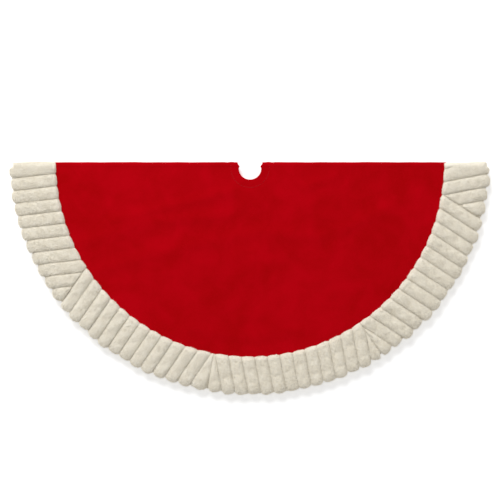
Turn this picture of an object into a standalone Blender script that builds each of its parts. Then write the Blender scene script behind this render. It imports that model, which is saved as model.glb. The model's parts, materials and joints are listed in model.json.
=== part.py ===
"""Round tree skirt with a quilted fur border, folded in half and laid flat.

Metres, +Z up. The origin is on the floor, under the middle of the folded outline. +X runs along the fold and
-Y points from the fold to the rounded side. The skirt is drawn open and face up around the middle of its fold
line. The front half stays so, and the two back flaps are turned under it by their hinge empties. They meet at
the slit that lets the skirt go round a trunk.

Angles of the open skirt are in degrees round its centre: 0 at the -X end of the fold, 90 at the middle of the
front half, 180 at the +X end of the fold and 270 at the middle of the back.
"""

import math
from collections import namedtuple

import bmesh
import bpy

# Plan of the open skirt
PANEL_RADIUS = 0.493
BORDER_RADIUS = 0.590
END_GROWTH = 0.0195  # more radius at the ends of the fold, where the border lies flatter
HOLE_HALF_WIDTH = 0.0286
HOLE_STRAIGHT = 0.0145  # from the fold to where each round end of the hole starts
SLIT_ANGLE = 260.0
SLIT_WIDTH = 0.003
HOLE_FACING_WIDTH = 0.022
SLIT_FACING_WIDTH = 0.028

# Border: equal sections from the slit round to the slit, each with parallel channels. A lay is a section's
# (tilt of its channels off its own middle, place of one groove across them).
LAYS = ((0.0, 0.0), (0.0, 0.0), (-7.0, 0.007), (0.0, -0.008), (-2.0, 0.018), (-1.0, 0.0), (-2.0, 0.004), (0.0, 0.0))
CHANNEL_PITCH = 0.032
LOBE_DEPTH = 0.006
CROWN_START, CROWN_END = 0.28, 0.72  # the flat of a channel's crown, in shares of its pitch
EDGE_SLOPE = 0.006  # in from an edge to the shoulder
CROWN_SLOPE = 0.018  # in from an edge to the full height
LEAST_COLUMN = 0.008

# Layers, from the plane where the two halves meet outwards to the face
HALF_GAP = 0.00015
GAP = 0.0003
LINING_THICKNESS = 0.0019  # satin and its thin backing
SLIT_FACING_THICKNESS = 0.0008
PANEL_THICKNESS = 0.0028
WADDING_THICKNESS = 0.004
RIM_HEIGHT = 0.0062
SHOULDER_HEIGHT = 0.0086
GROOVE_HEIGHT = 0.0095
CROWN_HEIGHT = 0.016

# Wadding, in from the edges of its section
WADDING_SIDE_MARGIN = 0.007
WADDING_INNER_MARGIN = 0.012
WADDING_OUTER_MARGIN = 0.018
POCKET_CLEARANCE = 0.0003
LINING_INSET = 0.009

# Hook and loop pads on the slit edges
PAD_LENGTH = 0.040
PAD_WIDTH = 0.020
PAD_THICKNESS = 0.0008
PAD_CORNER = 0.003
PAD_EDGE = 0.005  # from the slit edge to the pad
PAD_COUNT = 3
PAD_FROM_HOLE = 0.062  # from the hole's edge to the middle of the first pad
PAD_FROM_BORDER = 0.048  # from the middle of the last pad to the border

ARC_STEP = 3.0
HOLE_STEP = 7.5

SECTION_ANGLE = 360.0 / len(LAYS)
FACE_BASE = HALF_GAP + LINING_THICKNESS + GAP
FOLD_Y = BORDER_RADIUS / 2

# An edge is the line that lies this far inside the ray from the centre at this angle.
Edge = namedtuple("Edge", "angle offset")
LEFT_FOLD, RIGHT_FOLD = 0.0, 180.0
HALVES = {
    "front": (Edge(LEFT_FOLD, HALF_GAP), Edge(RIGHT_FOLD, HALF_GAP)),
    "back_right": (Edge(RIGHT_FOLD, HALF_GAP), Edge(SLIT_ANGLE, SLIT_WIDTH / 2)),
    "back_left": (Edge(SLIT_ANGLE, SLIT_WIDTH / 2), Edge(LEFT_FOLD + 360, HALF_GAP)),
}


def clear_scene():
    for obj in list(bpy.data.objects):
        bpy.data.objects.remove(obj, do_unlink=True)


def make_material(name, color, roughness, metallic=0.0):
    material = bpy.data.materials.new(name)
    material.use_nodes = True
    shader = material.node_tree.nodes["Principled BSDF"]
    shader.inputs["Base Color"].default_value = (*color, 1.0)
    shader.inputs["Roughness"].default_value = roughness
    shader.inputs["Metallic"].default_value = metallic
    material.diffuse_color = (*color, 1.0)
    return material


def plan(radius, angle):
    turn = math.radians(angle)
    return -radius * math.cos(turn), -radius * math.sin(turn)


# Radii of the open skirt's curves, each a function of the angle


def border_radius(angle):
    return BORDER_RADIUS + END_GROWTH * math.cos(math.radians(angle)) ** 2


def hole_radius(angle, offset=0.0):
    """The hole is an oblong across the fold: two straight sides and two round ends."""
    half, turn = HOLE_HALF_WIDTH + offset, math.radians(angle)
    side, end = abs(math.cos(turn)), abs(math.sin(turn))
    if half * end <= HOLE_STRAIGHT * side:
        return half / side
    return HOLE_STRAIGHT * end + math.sqrt(half**2 - (HOLE_STRAIGHT * side) ** 2)


def facing_radius(angle):
    return hole_radius(angle, HOLE_FACING_WIDTH)


def lining_inner_radius(angle):
    return hole_radius(angle, HOLE_FACING_WIDTH + GAP)


def lining_radius(angle):
    return border_radius(angle) - LINING_INSET


def panel_radius(angle):
    return PANEL_RADIUS


def angle_on(edge, side, radius_at):
    """The angle where a radius curve crosses an edge. The side is 1 at a piece's start and -1 at its end."""
    angle = edge.angle
    for _ in range(6):
        angle = edge.angle + side * math.degrees(math.asin(edge.offset / radius_at(angle)))
    return angle


def curve_points(start, end, radius_at, step):
    first, last = angle_on(start, 1, radius_at), angle_on(end, -1, radius_at)
    count = max(1, math.ceil((last - first) / step))
    angles = [first + (last - first) * i / count for i in range(count + 1)]
    return [plan(radius_at(angle), angle) for angle in angles]


def outline(start, end, inner, outer, inner_step=HOLE_STEP):
    return curve_points(start, end, outer, ARC_STEP) + curve_points(start, end, inner, inner_step)[::-1]


def extruded(name, points, base, thickness):
    """A flat sheet on this outline, from the base outwards."""
    mesh = bpy.data.meshes.new(name)
    shape = bmesh.new()
    floor = shape.faces.new([shape.verts.new((x, y, base)) for x, y in points])
    raised = bmesh.ops.extrude_face_region(shape, geom=[floor])
    moved = [item for item in raised["geom"] if isinstance(item, bmesh.types.BMVert)]
    bmesh.ops.translate(shape, verts=moved, vec=(0, 0, thickness))
    bmesh.ops.recalc_face_normals(shape, faces=shape.faces)
    shape.to_mesh(mesh)
    shape.free()
    return mesh


def add_object(name, mesh, parent, material=None):
    obj = bpy.data.objects.new(name, mesh)
    bpy.context.scene.collection.objects.link(obj)
    obj.parent = parent
    if material:
        obj.data.materials.append(material)
    return obj


def add_empty(name, folded):
    """The frame of one half: its origin is on the fold line, and a folded half is turned face down."""
    empty = add_object(name, None, None)
    empty.location = (0, FOLD_Y, CROWN_HEIGHT)
    empty.rotation_euler = (math.pi if folded else 0, 0, 0)
    empty.empty_display_size = 0.05
    return empty


# Border sections


def section_pieces():
    """Each section's part on each half, as (name, half, start edge, end edge, channel direction, groove place)."""
    for i, (tilt, groove) in enumerate(LAYS):
        low = SLIT_ANGLE - 360 + SECTION_ANGLE * i
        high = low + SECTION_ANGLE
        direction = (low + high) / 2 + tilt
        for half, (start, end) in HALVES.items():
            for turn in (-360, 0):
                first, last = max(low, start.angle + turn), min(high, end.angle + turn)
                if last - first < 1:
                    continue
                from_edge = Edge(first, start.offset if first == start.angle + turn else GAP / 2)
                to_edge = Edge(last, end.offset if last == end.angle + turn else GAP / 2)
                yield f"{i + 1}_{half}", half, from_edge, to_edge, direction, groove


def channel_columns(low, high, groove):
    """(place across the channels, whether it is on a crown) for each line of points along the channels."""
    columns = []
    for i in range(math.floor((low - groove) / CHANNEL_PITCH), math.ceil((high - groove) / CHANNEL_PITCH) + 1):
        left = groove + i * CHANNEL_PITCH
        columns += [(left, False), (left + CROWN_START * CHANNEL_PITCH, True)]
        columns += [(left + CROWN_END * CHANNEL_PITCH, True)]
    margin = CROWN_START * CHANNEL_PITCH / 2
    return [column for column in columns if low + margin < column[0] < high - margin]


def border_mesh(name, start, end, direction, groove):
    """A cover with parallel channels, rounded down at every edge and scalloped where the channels end."""
    to_start, to_end = math.radians(start.angle - direction), math.radians(end.angle - direction)
    inner = PANEL_RADIUS + GAP

    def span(across, on_crown):
        """Where a line at this place across the channels enters and leaves the section."""
        outer = border_radius(direction)
        for _ in range(4):
            reach = math.sqrt(outer**2 - across**2)
            outer = border_radius(direction + math.degrees(math.atan2(across, reach)))
        leave = math.sqrt(outer**2 - across**2) - (0 if on_crown else LOBE_DEPTH)
        enter = math.sqrt(inner**2 - across**2)
        for slope, bound in (
            (math.sin(to_end), end.offset + across * math.cos(to_end)),
            (-math.sin(to_start), start.offset - across * math.cos(to_start)),
        ):
            if slope > 0:
                enter = max(enter, bound / slope)
            else:
                leave = min(leave, bound / slope)
        return enter, leave

    def widest(toward):
        """The last place across where a line inside the section is still long enough for a column."""
        near = (inner + border_radius(direction)) / 2 * math.sin((to_start + to_end) / 2)
        far = toward
        for _ in range(30):
            middle = (near + far) / 2
            enter, leave = span(middle, False)
            near, far = (middle, far) if leave - enter > LEAST_COLUMN else (near, middle)
        return near

    radius = border_radius(direction)
    low = widest(radius * math.sin(to_start))
    high = widest(max(radius * math.sin(to_end), inner * math.sin(to_end)))
    columns = [(low, None)] + channel_columns(low, high, groove) + [(high, None)]

    turn = math.radians(direction)
    along = (-math.cos(turn), -math.sin(turn))
    side = (math.sin(turn), -math.cos(turn))
    shape = bmesh.new()
    tops, bottoms = [], []
    for across, on_crown in columns:
        enter, leave = span(across, bool(on_crown))
        length = leave - enter
        slopes = [min(EDGE_SLOPE, 0.2 * length), min(CROWN_SLOPE, 0.45 * length)]
        places = [0, *slopes, length - slopes[1], length - slopes[0], length]
        full = CROWN_HEIGHT if on_crown else GROOVE_HEIGHT
        shoulder = SHOULDER_HEIGHT + 0.35 * (full - SHOULDER_HEIGHT)
        heights = [RIM_HEIGHT, shoulder, full, full, shoulder, RIM_HEIGHT]
        if on_crown is None:
            heights = [RIM_HEIGHT] * len(places)
        points = [
            [along[axis] * (enter + place) + side[axis] * across for axis in (0, 1)] for place in places
        ]
        tops.append([shape.verts.new((x, y, z)) for (x, y), z in zip(points, heights)])
        bottoms.append([shape.verts.new((x, y, FACE_BASE)) for x, y in points])
    for left, right, low_left, low_right in zip(tops, tops[1:], bottoms, bottoms[1:]):
        for row in range(len(left) - 1):
            shape.faces.new((left[row], left[row + 1], right[row + 1], right[row]))
        for row in (0, len(left) - 1):
            shape.faces.new((left[row], right[row], low_right[row], low_left[row]))
    for top, bottom in ((tops[0], bottoms[0]), (tops[-1], bottoms[-1])):
        for row in range(len(top) - 1):
            shape.faces.new((top[row], top[row + 1], bottom[row + 1], bottom[row]))
    round_trip = bottoms[0] + [column[-1] for column in bottoms[1:-1]]
    round_trip += bottoms[-1][::-1] + [column[0] for column in bottoms[-2:0:-1]]
    shape.faces.new(round_trip)
    for column in bottoms[1:-1]:
        for vertex in column[1:-1]:
            shape.verts.remove(vertex)
    bmesh.ops.recalc_face_normals(shape, faces=shape.faces)
    mesh = bpy.data.meshes.new(name)
    shape.to_mesh(mesh)
    shape.free()
    return mesh


def wadding_outline(start, end, clearance=0.0):
    side = WADDING_SIDE_MARGIN - clearance

    def inner(angle):
        return PANEL_RADIUS + WADDING_INNER_MARGIN - clearance

    def outer(angle):
        return border_radius(angle) - WADDING_OUTER_MARGIN + clearance

    return outline(Edge(start.angle, side), Edge(end.angle, side), inner, outer, ARC_STEP)


def cut_pocket(cover, points):
    """The hollow under a cover that its wadding fills."""
    depth = WADDING_THICKNESS + POCKET_CLEARANCE + GAP
    mesh = extruded(f"{cover.name}_cutter", points, FACE_BASE - GAP, depth)
    cutter = add_object(f"{cover.name}_cutter", mesh, cover.parent)
    cutter.hide_render = True
    cutter.display_type = "WIRE"
    pocket = cover.modifiers.new("pocket", "BOOLEAN")
    pocket.operation = "DIFFERENCE"
    pocket.object = cutter


def build_border(halves, fur, wadding):
    for name, half, start, end, direction, groove in section_pieces():
        mesh = border_mesh(f"border_section_{name}", start, end, direction, groove)
        cover = add_object(f"border_section_{name}", mesh, halves[half], fur)
        cut_pocket(cover, wadding_outline(start, end, POCKET_CLEARANCE))
        filling = extruded(f"border_wadding_{name}", wadding_outline(start, end), FACE_BASE, WADDING_THICKNESS)
        add_object(f"border_wadding_{name}", filling, halves[half], wadding)


# Flat sheets and slit closures


def build_sheets(halves, plush, satin, facing):
    slit_inset = SLIT_WIDTH / 2 + SLIT_FACING_WIDTH
    for half, (start, end) in HALVES.items():
        parent = halves[half]
        panel = outline(start, end, hole_radius, panel_radius)
        add_object(f"{half}_panel", extruded(f"{half}_panel", panel, FACE_BASE, PANEL_THICKNESS), parent, plush)
        ring = curve_points(start, end, facing_radius, HOLE_STEP)
        ring += curve_points(start, end, hole_radius, HOLE_STEP)[::-1]
        name = f"{half}_hole_facing"
        add_object(name, extruded(name, ring, HALF_GAP, LINING_THICKNESS), parent, facing)
        if end.angle == SLIT_ANGLE:
            end = Edge(end.angle, slit_inset + GAP)
            strip = (Edge(SLIT_ANGLE, -slit_inset), Edge(SLIT_ANGLE, SLIT_WIDTH / 2))
        elif start.angle == SLIT_ANGLE:
            start = Edge(start.angle, slit_inset + GAP)
            strip = (Edge(SLIT_ANGLE, SLIT_WIDTH / 2), Edge(SLIT_ANGLE, -slit_inset))
        else:
            strip = None
        lining = outline(start, end, lining_inner_radius, lining_radius)
        add_object(f"{half}_lining", extruded(f"{half}_lining", lining, HALF_GAP, LINING_THICKNESS), parent, satin)
        if strip:
            points = outline(*strip, lining_inner_radius, lining_radius)
            name = f"{half}_slit_facing"
            base = FACE_BASE - GAP - SLIT_FACING_THICKNESS
            add_object(name, extruded(name, points, base, SLIT_FACING_THICKNESS), parent, facing)


def add_pad(name, parent, radius, side, base, material):
    """A pad beside the slit, on the side of the slit that has larger angles (1) or smaller ones (-1)."""
    turn = math.radians(SLIT_ANGLE)
    along, across = plan(1, SLIT_ANGLE), (side * math.sin(turn), -side * math.cos(turn))
    near = SLIT_WIDTH / 2 + PAD_EDGE
    corners = ((-1, 0), (1, 0), (1, 1), (-1, 1))
    points = []
    for end, far in corners:
        run, out = radius + end * PAD_LENGTH / 2, near + far * PAD_WIDTH
        points.append(tuple(along[axis] * run + across[axis] * out for axis in (0, 1)))
    pad = add_object(name, extruded(name, points, base, PAD_THICKNESS), parent, material)
    corner = pad.modifiers.new("corners", "BEVEL")
    corner.limit_method = "NONE"
    corner.affect = "VERTICES"
    corner.width = PAD_CORNER
    corner.segments = 2
    return pad


def build_pads(halves, hook, loop):
    """Hooks on the lining side of the left flap, loops on the face of the right flap, which it laps over."""
    first, last = hole_radius(SLIT_ANGLE) + PAD_FROM_HOLE, PANEL_RADIUS - PAD_FROM_BORDER
    for i in range(1, PAD_COUNT + 1):
        radius = first + (last - first) * (i - 1) / (PAD_COUNT - 1)
        hook_base = FACE_BASE - GAP - SLIT_FACING_THICKNESS - GAP - PAD_THICKNESS
        add_pad(f"hook_pad_{i}", halves["back_left"], radius, 1, hook_base, hook)
        loop_base = FACE_BASE + PANEL_THICKNESS + GAP
        add_pad(f"loop_pad_{i}", halves["back_right"], radius, -1, loop_base, loop)


def main():
    clear_scene()
    plush = make_material("plush_red", (0.43, 0.0015, 0.005), 0.85)
    fur = make_material("fur_ivory", (0.70, 0.64, 0.51), 0.95)
    filling = make_material("wadding_white", (0.80, 0.80, 0.78), 1.0)
    satin = make_material("lining_ivory", (0.68, 0.62, 0.50), 0.55)
    facing = make_material("facing_red", (0.36, 0.003, 0.006), 0.7)
    hook = make_material("hook_tape_red", (0.30, 0.004, 0.008), 0.6)
    loop = make_material("loop_tape_red", (0.34, 0.006, 0.010), 0.9)
    halves = {
        "front": add_empty("front_half", False),
        "back_right": add_empty("back_right_flap", True),
        "back_left": add_empty("back_left_flap", True),
    }
    build_border(halves, fur, filling)
    build_sheets(halves, plush, satin, facing)
    build_pads(halves, hook, loop)


main()
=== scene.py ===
"""Looks of a round tree skirt, folded in half and laid flat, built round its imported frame.

The skirt is a red plush disc in a padded ivory fur border. Eight border sections are quilted into parallel
channels, and meet at seams where the channels run together in a V. Everything is drawn open and face up round
the middle of the fold line, and placed from there: the front half as it is, the two back flaps turned under.

Angles of the open skirt are in degrees round its centre: 0 at the -X end of the fold, 90 at the middle of the
front half, 180 at the +X end of the fold and 270 at the middle of the back. Lengths are in metres.
"""

import json
import logging
import math
from collections.abc import Callable, Sequence
from dataclasses import dataclass, field, replace
from enum import Enum

import bmesh
import bpy
import numpy as np
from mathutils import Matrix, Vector

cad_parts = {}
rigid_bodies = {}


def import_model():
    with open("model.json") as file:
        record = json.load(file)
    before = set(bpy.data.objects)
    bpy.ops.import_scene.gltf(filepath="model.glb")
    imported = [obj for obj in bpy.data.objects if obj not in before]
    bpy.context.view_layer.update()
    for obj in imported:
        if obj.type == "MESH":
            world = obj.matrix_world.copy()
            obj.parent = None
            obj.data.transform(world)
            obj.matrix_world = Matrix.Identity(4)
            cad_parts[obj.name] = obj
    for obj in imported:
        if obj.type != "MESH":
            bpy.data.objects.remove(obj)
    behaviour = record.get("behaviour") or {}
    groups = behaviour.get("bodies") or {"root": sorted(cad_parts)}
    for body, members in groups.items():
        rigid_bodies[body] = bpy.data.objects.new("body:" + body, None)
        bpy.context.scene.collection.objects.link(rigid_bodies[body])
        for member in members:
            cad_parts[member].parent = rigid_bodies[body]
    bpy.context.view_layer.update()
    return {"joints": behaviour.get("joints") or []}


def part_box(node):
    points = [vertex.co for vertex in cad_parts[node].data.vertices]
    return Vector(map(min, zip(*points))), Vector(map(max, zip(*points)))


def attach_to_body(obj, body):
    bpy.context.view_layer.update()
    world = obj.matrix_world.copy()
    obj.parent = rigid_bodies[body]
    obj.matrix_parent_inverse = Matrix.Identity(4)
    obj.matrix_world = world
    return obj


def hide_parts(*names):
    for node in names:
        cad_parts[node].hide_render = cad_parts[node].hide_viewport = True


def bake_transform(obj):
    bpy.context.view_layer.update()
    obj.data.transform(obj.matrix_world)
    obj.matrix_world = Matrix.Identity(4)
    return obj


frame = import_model()
MM = 0.001
# The cloth settles in this many frames, and no point of a cover moves further than the cap.
PUFF_FRAMES = 16
PUFF_CAP = 2.5 * MM
# Weights that the cover's points are held with are sorted into this many steps.
HELD_STEPS = 20
# Tufts to a square metre of border.
PILE_DENSITY = 5.5e5
# More channels than any section holds, so that each has its own drawn differences.
MOST_CHANNELS = 60

logging.basicConfig(level=logging.INFO, format="%(name)s: %(message)s")
log = logging.getLogger("tree_skirt")


class Half(Enum):
    """The three rigid parts of the skirt, by the body that each rides on."""

    FRONT = "front_half"
    BACK_RIGHT = "back_right_flap"
    BACK_LEFT = "back_left_flap"

    @property
    def folded(self) -> bool:
        """Whether this part is turned face down under the front."""
        return self is not Half.FRONT

    @property
    def stem(self) -> str:
        """The word that this half's node names hold."""
        return self.name.lower()


@dataclass(frozen=True)
class Edge:
    """The line that lies `offset` inside the ray from the centre at `angle`."""

    angle: float
    offset: float


@dataclass(frozen=True)
class SkirtPlan:
    """Sizes and curves of the open skirt.

    Heights are above the plane where the two halves meet.
    """

    fold_y: float
    middle_z: float
    panel_radius: float
    border_radius: float
    end_growth: float
    face_base: float
    face_top: float
    lining_base: float
    lining_top: float
    wadding_top: float
    hole_half_width: float = 28.6 * MM
    hole_straight: float = 14.5 * MM
    facing_width: float = 22 * MM
    slit_angle: float = 260.0
    slit_width: float = 3 * MM
    slit_facing_width: float = 28 * MM
    half_gap: float = 0.15 * MM

    @classmethod
    def from_frame(cls) -> "SkirtPlan":
        """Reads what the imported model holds: the fold's place, the radii and the layers."""
        _, fold_y, middle_z = frame["joints"][0]["pos_m"]
        panel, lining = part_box("front_panel"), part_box("front_lining")
        border_radius = fold_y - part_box("border_section_5_front")[0].y
        return cls(
            fold_y=fold_y,
            middle_z=middle_z,
            panel_radius=panel[1].x,
            border_radius=border_radius,
            end_growth=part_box("border_section_7_front")[1].x - border_radius,
            face_base=panel[0].z - middle_z,
            face_top=panel[1].z - middle_z,
            lining_base=lining[0].z - middle_z,
            lining_top=lining[1].z - middle_z,
            wadding_top=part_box("border_wadding_5_front")[1].z - middle_z,
        )

    def edges(self, half: Half) -> tuple[Edge, Edge]:
        """The lines where a half starts and ends, going round by increasing angle."""
        fold, slit = self.half_gap, self.slit_width / 2
        return {
            Half.FRONT: (Edge(0.0, fold), Edge(180.0, fold)),
            Half.BACK_RIGHT: (Edge(180.0, fold), Edge(self.slit_angle, slit)),
            Half.BACK_LEFT: (Edge(self.slit_angle, slit), Edge(360.0, fold)),
        }[half]

    def outer_radius(self, angle: np.ndarray) -> np.ndarray:
        """The border's outer radius, which grows towards the ends of the fold."""
        return self.border_radius + self.end_growth * np.cos(np.radians(angle)) ** 2

    def hole_radius(self, angle: np.ndarray, offset: float = 0.0) -> np.ndarray:
        """The trunk hole's outline: two straight sides across the fold and two round ends.

        Args:
            angle: Direction from the centre, in degrees.
            offset: How far outside the hole's own edge.

        Returns:
            The radius in that direction.
        """
        half = self.hole_half_width + offset
        side = np.maximum(np.abs(np.cos(np.radians(angle))), 1e-6)
        end = np.abs(np.sin(np.radians(angle)))
        rounded = self.hole_straight * end + np.sqrt(
            np.maximum(half**2 - (self.hole_straight * side) ** 2, 0)
        )
        return np.where(half * end <= self.hole_straight * side, half / side, rounded)

    def place(self, points: np.ndarray, half: Half) -> np.ndarray:
        """Turns points of the open skirt to where that half lies.

        Args:
            points: Any array of points, with x, y and height last.
            half: The half that they belong to.

        Returns:
            The points in the row frame.
        """
        turn = -1.0 if half.folded else 1.0
        return points * (1.0, turn, turn) + (0.0, self.fold_y, self.middle_z)


PLAN = SkirtPlan.from_frame()


def polar(radius: np.ndarray, angle: np.ndarray) -> tuple[np.ndarray, np.ndarray]:
    """The x and y of a point of the open skirt."""
    turn = np.radians(angle)
    return -radius * np.cos(turn), -radius * np.sin(turn)


def angle_of(x: np.ndarray, y: np.ndarray) -> np.ndarray:
    """The angle of a point of the open skirt, from 0 to 360 degrees."""
    return np.degrees(np.arctan2(-y, -x)) % 360


def drawn(x: np.ndarray, y: np.ndarray, height: np.ndarray | float) -> np.ndarray:
    """Points from their x and y and their heights, in one array."""
    return np.stack(np.broadcast_arrays(x, y, height), axis=-1)


def angle_on(edge: Edge, side: int, radius: np.ndarray) -> np.ndarray:
    """The angle where a circle of this radius crosses an edge, with side 1 at a start and -1 at an end."""
    return edge.angle + side * np.degrees(np.arcsin(np.clip(edge.offset / radius, -1, 1)))


def rounded(distance: np.ndarray, reach: float, power: float = 2.2) -> np.ndarray:
    """Rises from 0 at an edge to 1 at `reach` in from it, along a full, padded curve."""
    short = 1 - np.clip(distance / reach, 0, 1)
    return np.maximum(1 - short**power, 0) ** (1 / power)


def eased(value: np.ndarray) -> np.ndarray:
    """A smooth step of a value from 0 to 1."""
    held = np.clip(value, 0, 1)
    return held * held * (3 - 2 * held)


class Ripple:
    """A smooth, seeded unevenness: a few plane waves of about one length."""

    def __init__(self, seed: int, length: float, waves: int = 7) -> None:
        """Draws the waves.

        Args:
            seed: Fixes the draw.
            length: Typical wavelength, in metres.
            waves: How many waves are added up.
        """
        draw = np.random.default_rng(seed)
        turn = draw.uniform(0, 2 * np.pi, waves)
        rate = 2 * np.pi / (length * draw.uniform(0.6, 1.7, waves))
        self._x, self._y = rate * np.cos(turn), rate * np.sin(turn)
        self._phase = draw.uniform(0, 2 * np.pi, waves)

    def __call__(self, x: np.ndarray, y: np.ndarray) -> np.ndarray:
        """The unevenness at these places, mostly between -1 and 1."""
        x, y = np.broadcast_arrays(x, y)
        phase = x[..., None] * self._x + y[..., None] * self._y + self._phase
        return np.sin(phase).sum(-1) / math.sqrt(len(self._phase))


# Meshes


def add_object(name: str, data: bpy.types.ID) -> bpy.types.Object:
    """Adds an object that holds this data to the scene."""
    obj = bpy.data.objects.new(name, data)
    bpy.context.scene.collection.objects.link(obj)
    return obj


def coordinates(mesh: bpy.types.Mesh) -> np.ndarray:
    """The mesh's points, one in each row."""
    flat = np.empty(len(mesh.vertices) * 3)
    mesh.vertices.foreach_get("co", flat)
    return flat.reshape(-1, 3)


def end_caps(loop: int, count: int) -> list[tuple[int, ...]]:
    """The two faces that close a wrapped grid of `count` loops of `loop` points."""
    return [tuple(range(loop)), tuple(range(count * loop - 1, (count - 1) * loop - 1, -1))]


def mesh_object(name: str, points: np.ndarray, faces: Sequence[Sequence[int]]) -> bpy.types.Object:
    """Makes a smooth mesh object at the origin, with its faces turned outwards."""
    mesh = bpy.data.meshes.new(name)
    mesh.from_pydata(np.asarray(points, float).reshape(-1, 3).tolist(), [], [list(face) for face in faces])
    shape = bmesh.new()
    shape.from_mesh(mesh)
    bmesh.ops.recalc_face_normals(shape, faces=shape.faces)
    shape.to_mesh(mesh)
    shape.free()
    mesh.shade_smooth()
    return add_object(name, mesh)


def grid_faces(rows: int, columns: int, wrap: bool = False, first: int = 0) -> list[tuple[int, ...]]:
    """Quads of a grid whose points run along its rows first.

    Args:
        rows: Points along each column.
        columns: How many columns of points.
        wrap: Whether each column is a closed loop.
        first: Index of the grid's first point.

    Returns:
        The faces, as point indices.
    """
    faces = []
    for column in range(columns - 1):
        near, far = first + column * rows, first + (column + 1) * rows
        for row in range(rows if wrap else rows - 1):
            after = (row + 1) % rows
            faces.append((near + row, near + after, far + after, far + row))
    return faces


def plain_mesh(obj: bpy.types.Object) -> bpy.types.Object:
    """Turns an object's evaluated result into its own plain mesh, and drops its modifiers."""
    graph = bpy.context.evaluated_depsgraph_get()
    made = bpy.data.meshes.new_from_object(obj.evaluated_get(graph))
    obj.modifiers.clear()
    obj.data = made
    return obj


def attach(obj: bpy.types.Object, half: Half, material: bpy.types.Material | None = None) -> None:
    """Lets a piece ride on its half, in this finish."""
    if material:
        obj.data.materials.clear()
        obj.data.materials.append(material)
    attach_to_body(obj, half.value)


# Materials


def linear(hex_colour: str) -> tuple[float, float, float, float]:
    """Turns an sRGB hex colour to linear RGBA."""
    parts = [int(hex_colour[i : i + 2], 16) / 255 for i in (1, 3, 5)]
    return (*((c / 12.92 if c <= 0.04045 else ((c + 0.055) / 1.055) ** 2.4) for c in parts), 1.0)


def add_node(
    tree: bpy.types.NodeTree, kind: str, inputs: dict | None = None, **settings: object
) -> bpy.types.Node:
    """Adds a node to a tree.

    Args:
        tree: The material's or the modifier's node tree.
        kind: The node's type.
        inputs: Values, or outputs to link, by input name or number.
        **settings: The node's own properties.

    Returns:
        The node.
    """
    node = tree.nodes.new(kind)
    for key, value in settings.items():
        setattr(node, key, value)
    for key, value in (inputs or {}).items():
        if isinstance(value, bpy.types.NodeSocket):
            tree.links.new(value, node.inputs[key])
        else:
            node.inputs[key].default_value = value
    return node


def new_material(name: str) -> tuple[bpy.types.Material, bpy.types.NodeTree, bpy.types.Node]:
    """A material with its tree and its empty Principled shader, linked to the output."""
    material = bpy.data.materials.new(name)
    material.use_nodes = True
    tree = material.node_tree
    tree.nodes.clear()
    shader = add_node(tree, "ShaderNodeBsdfPrincipled")
    add_node(tree, "ShaderNodeOutputMaterial", {"Surface": shader.outputs["BSDF"]})
    return material, tree, shader


@dataclass(frozen=True)
class PileFinish:
    """Cut pile: plush or short fur, knitted and sheared. It scatters light softly, and glows at its edges.

    The pile itself is finer than a render shows, so its tufts are drawn coarser than they are.
    """

    name: str
    deep: str
    full: str
    # Colour of the painted highlight on the tops of the highest tufts.
    tip: str
    tuft: float
    brushed: float
    relief: float
    roughness: float
    sheen: float
    sheen_colour: str

    def material(self) -> bpy.types.Material:
        """Builds the material: brushed patches in the colour, a painted highlight in the tip colour on the tufts
        that stand highest, and the tufts in the relief.

        A noise's patches are about 1 / scale across, so the scales come from `brushed` and `tuft`, in metres.
        """
        material, tree, shader = new_material(self.name)
        place = add_node(tree, "ShaderNodeTexCoord").outputs["Object"]
        patches = add_node(
            tree,
            "ShaderNodeTexNoise",
            {"Vector": place, "Scale": 1 / self.brushed, "Detail": 3.0, "Roughness": 0.55, "Distortion": 0.4},
        )
        tufts = add_node(
            tree,
            "ShaderNodeTexNoise",
            {"Vector": place, "Scale": 1 / self.tuft, "Detail": 4.0, "Roughness": 0.62},
        )
        spread = add_node(
            tree,
            "ShaderNodeMapRange",
            {"Value": patches.outputs["Fac"], "From Min": 0.32, "From Max": 0.68},
        )
        ground = add_node(
            tree,
            "ShaderNodeMix",
            {"Factor": spread.outputs["Result"], "A": linear(self.deep), "B": linear(self.full)},
            data_type="RGBA",
        )
        # Painted highlight: where the tufts stand highest in the bump, the colour goes towards the paler tip colour.
        painted_tuft_highlight = add_node(
            tree,
            "ShaderNodeMapRange",
            {"Value": tufts.outputs["Fac"], "From Min": 0.5, "From Max": 0.75, "To Min": 0.0, "To Max": 0.6},
        )
        colour = add_node(
            tree,
            "ShaderNodeMix",
            {"Factor": painted_tuft_highlight.outputs["Result"], "A": ground.outputs["Result"], "B": linear(self.tip)},
            data_type="RGBA",
        )
        bump = add_node(
            tree,
            "ShaderNodeBump",
            {"Height": tufts.outputs["Fac"], "Strength": 0.55, "Distance": self.relief},
        )
        tree.links.new(colour.outputs["Result"], shader.inputs["Base Color"])
        tree.links.new(bump.outputs["Normal"], shader.inputs["Normal"])
        shader.inputs["Roughness"].default_value = self.roughness
        shader.inputs["Specular IOR Level"].default_value = 0.03
        shader.inputs["Sheen Weight"].default_value = self.sheen
        shader.inputs["Sheen Roughness"].default_value = 0.45
        shader.inputs["Sheen Tint"].default_value = linear(self.sheen_colour)
        return material


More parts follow.
